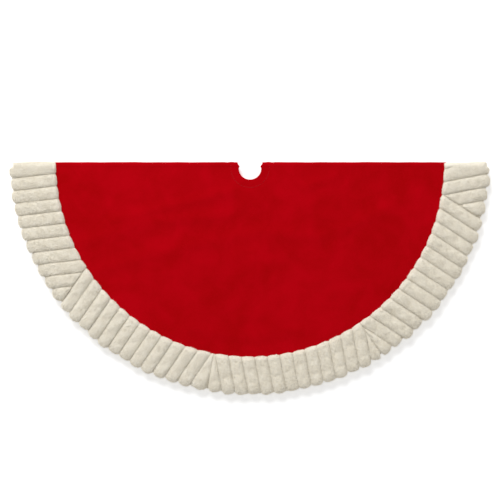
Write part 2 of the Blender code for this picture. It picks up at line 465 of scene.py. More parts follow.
@dataclass(frozen=True)
class WeaveFinish:
    """Plain woven polyester: threads cross, with a low, smooth gloss along them.

    A wave repeats every 2 pi / (20 * its scale), so the weave is drawn 2 pi times coarser than `thread`, the real
    spacing, which is too fine to show.
    """

    name: str
    dark: str
    light: str
    thread: float
    roughness: float
    sheen: float

    def material(self) -> bpy.types.Material:
        """Builds the material from two crossed waves, one for each set of threads."""
        material, tree, shader = new_material(self.name)
        place = add_node(tree, "ShaderNodeTexCoord").outputs["Object"]
        threads = [
            add_node(
                tree,
                "ShaderNodeTexWave",
                {"Vector": place, "Scale": 1 / (20 * self.thread), "Distortion": 0.6, "Detail": 1.0},
                bands_direction=direction,
            ).outputs["Fac"]
            for direction in ("X", "Y")
        ]
        crossed = add_node(tree, "ShaderNodeMath", {0: threads[0], 1: threads[1]}, operation="MULTIPLY")
        colour = add_node(
            tree,
            "ShaderNodeMix",
            {"Factor": crossed.outputs["Value"], "A": linear(self.dark), "B": linear(self.light)},
            data_type="RGBA",
        )
        bump = add_node(
            tree,
            "ShaderNodeBump",
            {"Height": crossed.outputs["Value"], "Strength": 0.35, "Distance": 0.3 * MM},
        )
        tree.links.new(colour.outputs["Result"], shader.inputs["Base Color"])
        tree.links.new(bump.outputs["Normal"], shader.inputs["Normal"])
        shader.inputs["Roughness"].default_value = self.roughness
        shader.inputs["Sheen Weight"].default_value = self.sheen
        return material


RED_PLUSH = PileFinish(
    name="polyester_plush_red",
    deep="#A20006",
    full="#B0000D",
    tip="#BA0213",
    tuft=2.2 * MM,
    brushed=70 * MM,
    relief=0.8 * MM,
    roughness=0.9,
    sheen=0.12,
    sheen_colour="#B00A14",
)
IVORY_FUR = PileFinish(
    name="acrylic_fur_ivory",
    deep="#E3DCCC",
    full="#EBE5D6",
    tip="#F1ECDF",
    tuft=2.6 * MM,
    brushed=18 * MM,
    relief=1.2 * MM,
    roughness=0.95,
    sheen=0.2,
    sheen_colour="#FFF8E6",
)
# The same fibre at its tips. The tufts are meshes already, so it needs little relief, and it is a little paler.
FUR_TIPS = replace(
    IVORY_FUR, name="acrylic_pile_ivory", deep="#EDE7D9", full="#F3EEE2", tip="#F9F5EC", relief=0.2 * MM
)
LOOP_PILE = PileFinish(
    name="nylon_loop_tape_red",
    deep="#8E0A12",
    full="#A0101A",
    tip="#B42A32",
    tuft=0.9 * MM,
    brushed=8 * MM,
    relief=0.5 * MM,
    roughness=0.85,
    sheen=0.4,
    sheen_colour="#D05058",
)
IVORY_SATIN = WeaveFinish("polyester_satin_ivory", "#CFC6B2", "#E2DAC6", 0.8 * MM, 0.42, 0.1)
RED_FACING = WeaveFinish("polycotton_facing_red", "#8A0710", "#A40E18", 0.9 * MM, 0.75, 0.1)
RED_TAPE = WeaveFinish("nylon_hook_tape_red", "#7C0810", "#960F18", 0.7 * MM, 0.5, 0.0)
IVORY_THREAD = WeaveFinish("polyester_thread_ivory", "#C9BFA8", "#DDD4BE", 0.5 * MM, 0.5, 0.0)
RED_THREAD = WeaveFinish("polyester_thread_red", "#8C0510", "#A80A16", 0.5 * MM, 0.5, 0.0)


@dataclass
class FinishRack:
    """Every finish's material, made once."""

    made: dict[str, bpy.types.Material] = field(default_factory=dict)

    def get(self, finish: PileFinish | WeaveFinish) -> bpy.types.Material:
        """The finish's material."""
        if finish.name not in self.made:
            self.made[finish.name] = finish.material()
        return self.made[finish.name]


FINISHES = FinishRack()


# Padding


def inflate(
    obj: bpy.types.Object, held: np.ndarray, floor: float, pressure: float = 4.0, slack: float = 0.01
) -> None:
    """Blows a closed cover up with the Cloth modifier, while its seams hold, and keeps the result.

    Args:
        obj: The cover.
        held: How firmly each vertex is held, from 0 to 1.
        floor: The lowest height that it may reach.
        pressure: The air pressure inside.
        slack: How much larger the cloth is cut than it lies.
    """
    start = coordinates(obj.data)
    sewn = obj.vertex_groups.new(name="sewn")
    levels = np.round(np.clip(held, 0, 1) * HELD_STEPS).astype(int)
    for level in range(1, HELD_STEPS + 1):
        sewn.add(np.nonzero(levels == level)[0].tolist(), level / HELD_STEPS, "REPLACE")
    cloth = obj.modifiers.new("wadding", "CLOTH")
    settings = cloth.settings
    settings.quality = 5
    settings.mass = 0.15
    settings.tension_stiffness = settings.compression_stiffness = 12
    settings.shear_stiffness = 6
    settings.bending_stiffness = 0.6
    settings.vertex_group_mass = sewn.name
    settings.pin_stiffness = 1
    settings.shrink_min = settings.shrink_max = -slack
    settings.use_pressure = True
    settings.uniform_pressure_force = pressure
    settings.effector_weights.gravity = 0
    cloth.collision_settings.use_collision = False
    cloth.collision_settings.use_self_collision = False
    scene = bpy.context.scene
    for step in range(1, PUFF_FRAMES + 1):
        scene.frame_set(step)
    shift = coordinates(obj.evaluated_get(bpy.context.evaluated_depsgraph_get()).data) - start
    obj.modifiers.clear()
    obj.vertex_groups.clear()
    scene.frame_set(1)
    far = np.linalg.norm(shift, axis=1, keepdims=True)
    log.info("%s puffed by up to %.1f mm", obj.name, far.max() / MM)
    shift = shift * np.minimum(1, PUFF_CAP / np.maximum(far, 1e-9))
    end = start + shift
    end[:, 2] = np.maximum(end[:, 2], np.minimum(start[:, 2], floor))
    obj.data.vertices.foreach_set("co", end.ravel())
    obj.data.update()


# Repeated small shapes


@dataclass
class RepeatTree:
    """A Geometry Nodes tree that repeats a small shape over a guide mesh."""

    name: str
    sizes: dict[str, float | int | tuple[float, float, float]]

    def __post_init__(self) -> None:
        """Makes the empty tree, with an input for the guide, the material and each size."""
        self.tree = bpy.data.node_groups.new(self.name, "GeometryNodeTree")
        sockets = self.tree.interface
        sockets.new_socket("Guide", in_out="INPUT", socket_type="NodeSocketGeometry")
        sockets.new_socket("Result", in_out="OUTPUT", socket_type="NodeSocketGeometry")
        material = sockets.new_socket("Material", in_out="INPUT", socket_type="NodeSocketMaterial")
        self.ids = {"Material": material.identifier}
        for name, value in self.sizes.items():
            kind = {float: "Float", int: "Int", tuple: "Vector"}[type(value)]
            socket = sockets.new_socket(name, in_out="INPUT", socket_type=f"NodeSocket{kind}")
            socket.default_value = value
            self.ids[name] = socket.identifier
        self.inputs = add_node(self.tree, "NodeGroupInput").outputs

    def finish(
        self, points: bpy.types.NodeSocket, shape: bpy.types.NodeSocket, smooth: bool, **inputs: object
    ) -> None:
        """Puts the shape on the points, and makes it real in its material.

        Args:
            points: Where the shape goes.
            shape: The small shape.
            smooth: Whether it is shaded smooth.
            **inputs: The instances' Rotation and Scale.
        """
        placed = add_node(
            self.tree, "GeometryNodeInstanceOnPoints", {"Points": points, "Instance": shape, **inputs}
        ).outputs["Instances"]
        real = add_node(self.tree, "GeometryNodeRealizeInstances", {"Geometry": placed}).outputs["Geometry"]
        shaded = add_node(
            self.tree, "GeometryNodeSetShadeSmooth", {"Geometry": real, "Shade Smooth": smooth}
        ).outputs["Geometry"]
        done = add_node(
            self.tree, "GeometryNodeSetMaterial", {"Geometry": shaded, "Material": self.inputs["Material"]}
        ).outputs["Geometry"]
        add_node(self.tree, "NodeGroupOutput", {"Result": done})

    def run(self, guide: bpy.types.Object, material: bpy.types.Material, **sizes: object) -> bpy.types.Object:
        """Runs the tree on a guide and leaves the result as the guide's own plain mesh.

        Args:
            guide: The mesh that the shapes follow.
            material: Their finish.
            **sizes: Sizes that differ from the tree's own, with underscores for spaces.

        Returns:
            The guide, now holding the repeated shapes.
        """
        modifier = guide.modifiers.new(self.name, "NODES")
        modifier.node_group = self.tree
        modifier[self.ids["Material"]] = material
        for name, value in self.sizes.items():
            modifier[self.ids[name]] = sizes.get(name.replace(" ", "_"), value)
        return plain_mesh(guide)


def pile_tree() -> RepeatTree:
    """Tufts of pile, as tapered spikes that lean along the lay and a little astray."""
    repeat = RepeatTree(
        "pile",
        {
            "Density": 4e5,
            "Length": 3.2 * MM,
            "Width": 0.8 * MM,
            "Stand": 0.4,
            "Lay": (0.0, -0.6, 0.0),
            "Stray": 0.55,
            "Seed": 1,
        },
    )
    tree, inputs = repeat.tree, repeat.inputs
    spread = add_node(
        tree,
        "GeometryNodeDistributePointsOnFaces",
        {"Mesh": inputs["Guide"], "Density": inputs["Density"], "Seed": inputs["Seed"]},
    )
    spike = add_node(
        tree,
        "GeometryNodeMeshCone",
        {
            "Vertices": 3,
            "Side Segments": 1,
            "Radius Top": 0.0,
            "Radius Bottom": inputs["Width"],
            "Depth": inputs["Length"],
        },
        fill_type="NGON",
    )
    astray = add_node(
        tree,
        "FunctionNodeRandomValue",
        {"Min": (-1.0, -1.0, -1.0), "Max": (1.0, 1.0, 1.0), "Seed": inputs["Seed"]},
        data_type="FLOAT_VECTOR",
    )
    size = add_node(tree, "FunctionNodeRandomValue", {2: 0.55, 3: 1.25, "Seed": inputs["Seed"]}, data_type="FLOAT")
    leaning = inputs["Lay"]
    for pull, share in ((spread.outputs["Normal"], inputs["Stand"]), (astray.outputs["Value"], inputs["Stray"])):
        pulled = add_node(tree, "ShaderNodeVectorMath", {"Vector": pull, "Scale": share}, operation="SCALE")
        leaning = add_node(
            tree, "ShaderNodeVectorMath", {0: pulled.outputs["Vector"], 1: leaning}, operation="ADD"
        ).outputs["Vector"]
    turned = add_node(tree, "FunctionNodeAlignRotationToVector", {"Vector": leaning}, axis="Z")
    repeat.finish(
        spread.outputs["Points"],
        spike.outputs["Mesh"],
        False,
        Rotation=turned.outputs["Rotation"],
        Scale=size.outputs[1],
    )
    return repeat


def stitch_tree() -> RepeatTree:
    """A run of stitches along a guide line, each a short, rounded length of thread."""
    repeat = RepeatTree(
        "stitches", {"Pitch": 4 * MM, "Size": (1.5 * MM, 0.45 * MM, 0.35 * MM)}
    )
    tree, inputs = repeat.tree, repeat.inputs
    line = add_node(tree, "GeometryNodeMeshToCurve", {"Mesh": inputs["Guide"]})
    spaced = add_node(
        tree, "GeometryNodeResampleCurve", {"Curve": line.outputs["Curve"], "Length": inputs["Pitch"]}, mode="LENGTH"
    )
    thread = add_node(tree, "GeometryNodeMeshUVSphere", {"Segments": 6, "Rings": 4, "Radius": 1.0})
    tangent = add_node(tree, "GeometryNodeInputTangent").outputs["Tangent"]
    turned = add_node(tree, "FunctionNodeAlignRotationToVector", {"Vector": tangent}, axis="X")
    repeat.finish(
        spaced.outputs["Curve"],
        thread.outputs["Mesh"],
        True,
        Rotation=turned.outputs["Rotation"],
        Scale=inputs["Size"],
    )
    return repeat


def hook_tree() -> RepeatTree:
    """Small bent hooks, one on each point of a guide grid."""
    repeat = RepeatTree("hooks", {"Radius": 0.32 * MM, "Wire": 0.11 * MM})
    tree, inputs = repeat.tree, repeat.inputs
    bend = add_node(
        tree,
        "GeometryNodeCurveArc",
        {
            "Resolution": 6,
            "Radius": inputs["Radius"],
            "Start Angle": math.radians(-60),
            "Sweep Angle": math.radians(250),
        },
    )
    wire = add_node(tree, "GeometryNodeCurvePrimitiveCircle", {"Resolution": 3, "Radius": inputs["Wire"]})
    hook = add_node(
        tree,
        "GeometryNodeCurveToMesh",
        {"Curve": bend.outputs["Curve"], "Profile Curve": wire.outputs["Curve"], "Fill Caps": True},
    )
    stood = add_node(
        tree, "GeometryNodeTransform", {"Geometry": hook.outputs["Mesh"], "Rotation": (math.radians(90), 0.0, 0.0)}
    )
    points = add_node(tree, "GeometryNodeMeshToPoints", {"Mesh": inputs["Guide"]})
    repeat.finish(points.outputs["Points"], stood.outputs["Geometry"], True)
    return repeat


PILE = pile_tree()
STITCHES = stitch_tree()
HOOKS = hook_tree()


def line_mesh(name: str, lines: Sequence[np.ndarray]) -> bpy.types.Object:
    """Makes a mesh of open lines, each an array of points."""
    edges, first = [], 0
    for line in lines:
        edges += [(first + i, first + i + 1) for i in range(len(line) - 1)]
        first += len(line)
    mesh = bpy.data.meshes.new(name)
    mesh.from_pydata(np.concatenate(lines).tolist(), edges, [])
    return add_object(name, mesh)


def sew(
    name: str, half: Half, slot: str, thread: WeaveFinish, lines: Sequence[np.ndarray], **sizes: object
) -> None:
    """Sews lines of stitches onto a half.

    Args:
        name: The stitches' piece name.
        half: The half that they lie on.
        slot: Not used.
        thread: Their finish.
        lines: Points of the open skirt along each line.
        **sizes: Sizes that differ from the stitch tree's own.
    """
    guide = line_mesh(name, [PLAN.place(line, half) for line in lines])
    sewn = STITCHES.run(guide, FINISHES.get(thread), **sizes)
    attach(sewn, half)
    log.info("%s: %d faces", name, len(sewn.data.polygons))


# Quilted border


@dataclass(frozen=True)
class ChannelCut:
    """How one section's channels are laid.

    Attributes:
        tilt: Degrees that they lean off the section's own middle.
        groove: Place of one groove across them.
        pitch: Width of a channel.
        seam: The direction of the seam at the section's start and how far it passes from the centre. None is
            a seam that points at the centre, on the section's own start.
    """

    tilt: float
    groove: float
    pitch: float = 32 * MM
    seam: Edge | None = None


CHANNEL_CUTS = (
    ChannelCut(0.0, 0.0),
    ChannelCut(0.0, 0.0),
    ChannelCut(-6.0, 4 * MM),
    ChannelCut(-2.0, 0.5 * MM, seam=Edge(55.5, -191.5 * MM)),
    ChannelCut(-1.7, 14.5 * MM, seam=Edge(79.3, 0.0)),
    ChannelCut(-0.5, 2 * MM, 32.5 * MM, seam=Edge(124.4, 0.0)),
    ChannelCut(-1.6, 18 * MM, seam=Edge(147.0, 197 * MM)),
    ChannelCut(0.0, 0.0),
)


@dataclass
class BorderSection:
    """The part of one quilted section that lies on one half: a fur cover over wadding, sewn into channels."""

    number: int
    half: Half
    start: Edge
    end: Edge
    direction: float
    groove: float
    pitch: float = 32 * MM
    across: int = 16
    along: int = 42
    crown: float = 17.0 * MM
    rested_crown: float = 14.6 * MM
    groove_height: float = 7.4 * MM
    edge_height: float = 5.0 * MM
    lobe: float = 11.5 * MM
    blunt: float = 0.85
    back_inset: float = 4 * MM
    inner_lap: float = 1.8 * MM
    inner_scallop: float = 3.8 * MM
    outer_round: float = 26 * MM
    inner_round: float = 11 * MM
    seam_round: float = 11 * MM
    fold_round: float = 17 * MM
    shortest: float = 8 * MM
    narrowest: float = 19 * MM
    bare_edge: float = 15 * MM
    corner: float = 11 * MM
    corner_round: float = 24 * MM

    def __post_init__(self) -> None:
        """Sets the section's own axes, along its channels and across them, and draws its channels' differences."""
        turn = math.radians(self.direction)
        self.axis = np.array([-math.cos(turn), -math.sin(turn)])
        self.side = np.array([math.sin(turn), -math.cos(turn)])
        self.to_start = math.radians(self.start.angle - self.direction)
        self.to_end = math.radians(self.end.angle - self.direction)
        self.name = f"{self.number}_{self.half.stem}"
        draw = np.random.default_rng(100 * self.number)
        half = MOST_CHANNELS // 2
        self.grooves = self.groove + self.pitch * np.arange(-half, half + 1)
        self.grooves = self.kept_grooves()
        self.fullness = draw.uniform(0.92, 1.04, MOST_CHANNELS)
        self.lean = draw.uniform(-0.16, 0.16, MOST_CHANNELS)
        self.reach = draw.uniform(-5.8 * MM, 0.2 * MM, MOST_CHANNELS)
        self.square = draw.uniform(1.8, 2.4, MOST_CHANNELS)
        self.soft = Ripple(self.number + 40, 34 * MM)
        self.dents = Ripple(self.number + 50, 75 * MM, 5)

    def outer_reach(self, across: np.ndarray) -> np.ndarray:
        """How far along a line at this place across meets the border's outer radius."""
        outer = PLAN.outer_radius(np.full_like(across, self.direction))
        for _ in range(4):
            reach = np.sqrt(outer**2 - across**2)
            outer = PLAN.outer_radius(self.direction + np.degrees(np.arctan2(across, reach)))
        return np.sqrt(outer**2 - across**2)

    def channel(self, across: np.ndarray) -> tuple[np.ndarray, np.ndarray]:
        """The number of the channel at each place across, and the place in it from -1 to 1."""
        number = np.searchsorted(self.grooves, across + 1e-9, side="right") - 1
        number = np.clip(number, 0, len(self.grooves) - 2)
        low, high = self.grooves[number], self.grooves[number + 1]
        return number, 2 * (across - low) / (high - low) - 1

    def kept_grooves(self) -> np.ndarray:
        """The grooves that are sewn: a channel that a seam would leave too narrow joins the one beside it."""
        low, high = self.limits()
        inside = self.grooves[(self.grooves > low) & (self.grooves < high)]
        first, last = inside[0] - self.pitch, inside[-1] + self.pitch
        joins = [edge.angle % 180 != 0 and edge.angle % 360 != PLAN.slit_angle for edge in (self.start, self.end)]
        if joins[0] and inside[0] - low < self.narrowest:
            inside, first = inside[1:], low
        if joins[1] and high - inside[-1] < self.narrowest:
            inside, last = inside[:-1], high
        log.info("%s: %d channels", self.name, len(inside) + 1)
        return np.concatenate([[first], inside, [last]])

    def span(self, across: np.ndarray, fullness: np.ndarray, reach: np.ndarray) -> tuple[np.ndarray, np.ndarray]:
        """Where lines along the channels enter and leave the section.

        Args:
            across: Their places across the channels.
            fullness: 0 in a groove and 1 on a crown.
            reach: How much further each channel's end stands out.

        Returns:
            The first and the last place along each line.
        """
        inner = PLAN.panel_radius + self.inner_scallop - self.inner_lap - self.inner_scallop * fullness
        enter = np.sqrt(inner**2 - across**2)
        number, _ = self.channel(across)
        centre = (self.grooves[number] + self.grooves[number + 1]) / 2
        arc = (1 - self.blunt) * self.outer_reach(across) + self.blunt * self.outer_reach(centre)
        leave = np.minimum(arc, self.outer_reach(across) + 3 * MM) - self.lobe * (1 - fullness) + reach
        leave = leave - (self.back_inset if self.half.folded else 0)
        for edge, way, turn in ((self.start, 1, self.to_start), (self.end, -1, self.to_end)):
            if edge.angle % 180 == 0:
                from_fold = way * (across * math.cos(turn) - leave * math.sin(turn)) - edge.offset
                leave = leave - self.corner * (1 - rounded(from_fold, self.corner_round, 2.0))
        bounds = (
            (math.sin(self.to_end), self.end.offset + across * math.cos(self.to_end)),
            (-math.sin(self.to_start), self.start.offset - across * math.cos(self.to_start)),
        )
        for slope, bound in bounds:
            if abs(slope) < 1e-6:
                continue
            if slope > 0:
                enter = np.maximum(enter, bound / slope)
            else:
                leave = np.minimum(leave, bound / slope)
        return enter, leave

    def limits(self) -> tuple[float, float]:
        """The first and last place across where the section is still long enough to be sewn."""
        radii = (PLAN.panel_radius, PLAN.border_radius + PLAN.end_growth)
        ends = []
        for turn, aside, pick in ((self.to_start, self.start.offset, min), (self.to_end, -self.end.offset, max)):
            reaches = [math.sqrt(r**2 - aside**2) * math.sin(turn) + aside * math.cos(turn) for r in radii]
            ends.append(pick(reaches))
        found = []
        for far in ends:
            near = (ends[0] + ends[1]) / 2
            for _ in range(30):
                half_way = (near + far) / 2
                enter, leave = self.span(np.array([half_way]), np.array([0.0]), np.array([0.0]))
                near, far = (half_way, far) if leave[0] - enter[0] > self.shortest else (near, half_way)
            found.append(near)
        return min(found), max(found)

    def columns(self) -> np.ndarray:
        """The places across of lines along the channels, closer together beside the grooves."""
        low, high = self.limits()
        across = []
        for near, far in zip(self.grooves, self.grooves[1:]):
            count = round(self.across * (far - near) / self.pitch)
            across.append(near + (far - near) * (1 - np.cos(np.pi * np.arange(count) / count)) / 2)
        across = np.concatenate(across)
        keep = (across > low + 0.8 * MM) & (across < high - 0.8 * MM)
        return np.concatenate([[low], across[keep], [high]])

    def profile(self, across: np.ndarray) -> np.ndarray:
        """The fullness across a channel as its ends show it, from 0 in a groove to 1."""
        number, within = self.channel(across)
        return np.maximum(1 - np.abs(within) ** self.square[number], 0) ** 0.5

    def surface(self, run: np.ndarray, across: np.ndarray, folded_edge: bool = True) -> np.ndarray:
        """The cover's height over the middle plane.

        Args:
            run: Places along the channels.
            across: Places across them, in an array of the same shape.
            folded_edge: Whether it falls to the middle plane at the fold.

        Returns:
            A height for each place.
        """
        number, within = self.channel(across)
        ends = self.profile(across)
        _, tip = self.span(across, ends, self.reach[number] * ends)
        lean = within + self.lean[number] * (1 - within**2)
        full = np.maximum(1 - np.abs(lean) ** 2.6, 0) ** (1 / 2.1)
        crown = (self.rested_crown if self.half.folded else self.crown) * self.fullness[number]
        height = self.groove_height + (crown - self.groove_height) * full
        height = height + (0.55 * MM * self.soft(run, across) + 0.5 * MM * self.dents(run, across)) * full
        x, y = self.flat(run, across)
        radius = np.hypot(x, y)
        scallop = PLAN.panel_radius + self.inner_scallop - self.inner_lap - self.inner_scallop * ends
        share = rounded(radius - scallop, self.inner_round) * rounded(tip - run, self.outer_round)
        base = np.full_like(run, self.edge_height)
        from_start = -run * math.sin(self.to_start) + across * math.cos(self.to_start) - self.start.offset
        from_end = run * math.sin(self.to_end) - across * math.cos(self.to_end) - self.end.offset
        inward = eased((PLAN.border_radius - 15 * MM - radius) / (70 * MM))
        for edge, distance in ((self.start, from_start), (self.end, from_end)):
            if edge.angle % 180 == 0:
                if folded_edge:
                    share = share * rounded(distance, self.fold_round)
                    base = 0.6 * MM + (base - 0.6 * MM) * eased(distance / self.fold_round)
            elif edge.angle % 360 == PLAN.slit_angle:
                share = share * rounded(distance, self.seam_round)
            else:
                held = 0.45 * inward
                share = share * (held + (1 - held) * rounded(distance, self.seam_round))
        highest = self.rested_crown + 0.6 * MM if self.half.folded else 1.0
        return np.minimum(base + (height - base) * share, highest)

    def flat(self, run: np.ndarray, across: np.ndarray) -> tuple[np.ndarray, np.ndarray]:
        """The x and y of places along and across the channels."""
        return self.axis[0] * run + self.side[0] * across, self.axis[1] * run + self.side[1] * across

    def height_at(self, x: np.ndarray, y: np.ndarray, folded_edge: bool = True) -> np.ndarray:
        """The cover's height at places of the open skirt."""
        run, across = x * self.axis[0] + y * self.axis[1], x * self.side[0] + y * self.side[1]
        return self.surface(run, across, folded_edge)

    def top(self) -> tuple[np.ndarray, np.ndarray, np.ndarray]:
        """The grid of the cover's upper side: places along, across, and heights."""
        across = self.columns()
        number, _ = self.channel(across)
        ends = self.profile(across)
        enter, leave = self.span(across, ends, self.reach[number] * ends)
        rows = (1 - np.cos(np.pi * np.linspace(0, 1, self.along))) / 2
        run = enter[:, None] + (leave - enter)[:, None] * rows
        wide = np.broadcast_to(across[:, None], run.shape)
        return run, wide, self.surface(run, wide)

    def loops(self) -> tuple[np.ndarray, np.ndarray]:
        """The points of the cover, and how firmly each is held.

        Each line of points runs along a channel on top, turns under at the outer end, and comes back along the
        flat back. The stitched grooves, the seams, the fold and the back are held, and the crowns are free.

        Returns:
            The points in the row frame, one row for each line, and a weight from 0 to 1 for each.
        """
        run, wide, height = self.top()
        x, y = self.flat(run, wide)
        _, within = self.channel(wide)
        radius = np.hypot(x, y)
        from_groove = (1 - np.abs(within)) * self.pitch / 2
        from_fold = np.where((self.start.angle % 180 == 0) | (self.end.angle % 180 == 0), np.abs(y), 1.0)
        free = eased((from_groove - 1.5 * MM) / (5 * MM)) * eased((from_fold - 24 * MM) / (12 * MM))
        free = free * eased((radius - PLAN.panel_radius - 2 * MM) / (10 * MM))
        ends = np.minimum(run - run[:, :1], run[:, -1:] - run)
        free = free * eased(ends / (9 * MM))
        free[:2] = free[-2:] = 0
        enter, leave = run[:, :1], run[:, -1:]
        scale = np.minimum(1, (leave - enter) / (45 * MM))
        outer_turn = np.array([0.4, 1.8, 4.6, 9.0]) * MM * scale
        inner_turn = np.array([16.0, 11.0, 6.5, 1.2]) * MM * scale
        low, lap = PLAN.face_base + 0.05 * MM, PLAN.face_top + 0.15 * MM
        edge, first = height[:, -1:], height[:, :1]
        flat = np.full_like(edge, low)
        levels = [edge - 0.3 * (edge - low), edge - 0.75 * (edge - low), flat, flat]
        levels += [flat, flat + 0.5 * (lap - low), flat + lap - low, flat + lap - low]
        depth = np.concatenate(levels, axis=1)
        depth[:, 4:] = np.minimum(depth[:, 4:], np.maximum(first, low))
        run = np.concatenate([run, leave - outer_turn, enter + inner_turn], axis=1)
        height = np.concatenate([height, np.minimum(depth, np.maximum(edge, 0.6 * MM))], axis=1)
        x, y = self.flat(run, np.broadcast_to(wide[:, :1], run.shape))
        held = np.concatenate([1 - free, np.ones_like(depth)], axis=1)
        return PLAN.place(drawn(x, y, height), self.half), held

    def cover(self) -> tuple[bpy.types.Object, np.ndarray]:
        """Builds the closed cover and blows it up, as its wadding does.

        Returns:
            The cover, and the grid of points of its upper side.
        """
        points, held = self.loops()
        lines, loop = held.shape
        faces = grid_faces(loop, lines, wrap=True) + end_caps(loop, lines)
        cover = mesh_object(f"fur_cover_{self.name}", points, faces)
        floor = 0.3 * MM if self.half.folded else -1.0
        inflate(cover, held.ravel(), floor)
        return cover, coordinates(cover.data).reshape(lines, loop, 3)[:, : self.along]

    def pile(self, top: np.ndarray) -> bpy.types.Object:
        """Grows the pile on the cover's upper side."""
        lines, along = top.shape[:2]
        bare = (np.abs(top[..., 1] - PLAN.fold_y) < self.bare_edge).ravel()
        faces = [face for face in grid_faces(along, lines) if not bare[list(face)].all()]
        guide = mesh_object(f"fur_pile_{self.name}", top, faces)
        if (guide.data.polygons[len(guide.data.polygons) // 2].normal.z > 0) == self.half.folded:
            guide.data.flip_normals()
        lay = (0.55 * float(self.axis[0]), 0.55 * float(self.axis[1]) * (-1 if self.half.folded else 1), 0.0)
        flat = {"Stand": 0.15, "Stray": 0.3, "Length": 2.4 * MM} if self.half.folded else {"Stand": 0.3}
        return PILE.run(guide, FINISHES.get(FUR_TIPS), Seed=self.number, Lay=lay, Density=PILE_DENSITY, **flat)

    def stitch_lines(self) -> list[np.ndarray]:
        """The lines of quilting, one along the bottom of each groove."""
        low, high = self.limits()
        lines = []
        for groove in self.grooves[(self.grooves > low + 6 * MM) & (self.grooves < high - 6 * MM)]:
            across = np.full(1, groove)
            enter, leave = self.span(across, np.zeros(1), np.zeros(1))
            if leave[0] - enter[0] < 24 * MM:
                continue
            run = np.linspace(enter[0] + 4 * MM, leave[0] - 6 * MM, 24)
            wide = np.full_like(run, across[0])
            x, y = self.flat(run, wide)
            lines.append(drawn(x, y, self.surface(run, wide) + 0.15 * MM))
        return lines

    def dress(self) -> None:
        """Builds the cover in its fur, its pile and its quilting, and lets it stand for its solids."""
        cover, top = self.cover()
        attach(cover, self.half, FINISHES.get(IVORY_FUR))
        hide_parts(f"border_section_{self.name}", f"border_wadding_{self.name}")
        pile = self.pile(top)
        attach(pile, self.half)
        log.info("%s: %d and %d faces", cover.name, len(cover.data.polygons), len(pile.data.polygons))
        lines = self.stitch_lines()
        if lines:
            sew(f"quilting_{self.name}", self.half, "fur_ivory", IVORY_THREAD, lines)


def border_sections() -> list[BorderSection]:
    """Every section's part on each half."""
    found = []
    angle = 360 / len(CHANNEL_CUTS)
    gap = 0.15 * MM
    seams = [cut.seam or Edge(PLAN.slit_angle - 360 + angle * i, 0.0) for i, cut in enumerate(CHANNEL_CUTS)]
    seams.append(Edge(seams[0].angle + 360, 0.0))
    for i, cut in enumerate(CHANNEL_CUTS):
        low = PLAN.slit_angle - 360 + angle * i
        direction = low + angle / 2 + cut.tilt
        for half in Half:
            start, end = PLAN.edges(half)
            for turn in (-360, 0):
                first, last = max(low, start.angle + turn), min(low + angle, end.angle + turn)
                if last - first < 1:
                    continue
                if first == start.angle + turn:
                    from_edge = Edge(first, start.offset)
                else:
                    from_edge = Edge(seams[i].angle, seams[i].offset + gap)
                if last == end.angle + turn:
                    to_edge = Edge(last, end.offset)
                else:
                    to_edge = Edge(seams[i + 1].angle, gap - seams[i + 1].offset)
                found.append(BorderSection(i + 1, half, from_edge, to_edge, direction, cut.groove, cut.pitch))
    return found


# Plush disc and lining


@dataclass(frozen=True)
class Drag:
    """A soft drag wrinkle in the plush, along a few points of the front half."""

    route: tuple[tuple[float, float], ...]
    height: float
    width: float

    def relief(self, x: np.ndarray, y: np.ndarray) -> np.ndarray:
        """How far the wrinkle lifts the plush at these places."""
        best = np.full_like(x, 1e3)
        for (ax, ay), (bx, by) in zip(self.route, self.route[1:]):
            dx, dy = bx - ax, by - ay
            share = np.clip(((x - ax) * dx + (y - ay) * dy) / (dx * dx + dy * dy), 0, 1)
            best = np.minimum(best, np.hypot(x - ax - share * dx, y - ay - share * dy))
        return self.height * np.exp(-((best / self.width) ** 2))


DRAGS = (
    Drag(((-0.353, -0.147), (-0.210, -0.112), (-0.058, -0.074)), 1.7 * MM, 15 * MM),
    Drag(((-0.411, -0.200), (-0.260, -0.150), (-0.058, -0.135)), 1.7 * MM, 16 * MM),
    Drag(((-0.379, -0.269), (-0.159, -0.210), (0.025, -0.175), (0.176, -0.188)), 1.6 * MM, 18 * MM),
    Drag(((0.144, -0.059), (0.220, -0.034)), 1.3 * MM, 14 * MM),
    Drag(((0.235, -0.168), (0.353, -0.117)), 1.4 * MM, 16 * MM),
    Drag(((-0.150, -0.420), (0.000, -0.444), (0.140, -0.420)), 1.0 * MM, 14 * MM),
)


def hole_edge(angle: np.ndarray, offset: float = 0.0) -> np.ndarray:
    """The sewn hole's edge, which flares at the fold and pinches in a little below it."""
    radius = PLAN.hole_radius(angle, offset)
    down = radius * np.abs(np.sin(np.radians(angle)))
    flare = 6 * MM * np.clip(1 - down / (7 * MM), 0, 1) ** 1.5
    pinch = 2.2 * MM * np.exp(-(((down - 10.5 * MM) / (3 * MM)) ** 2))
    return radius + flare - pinch


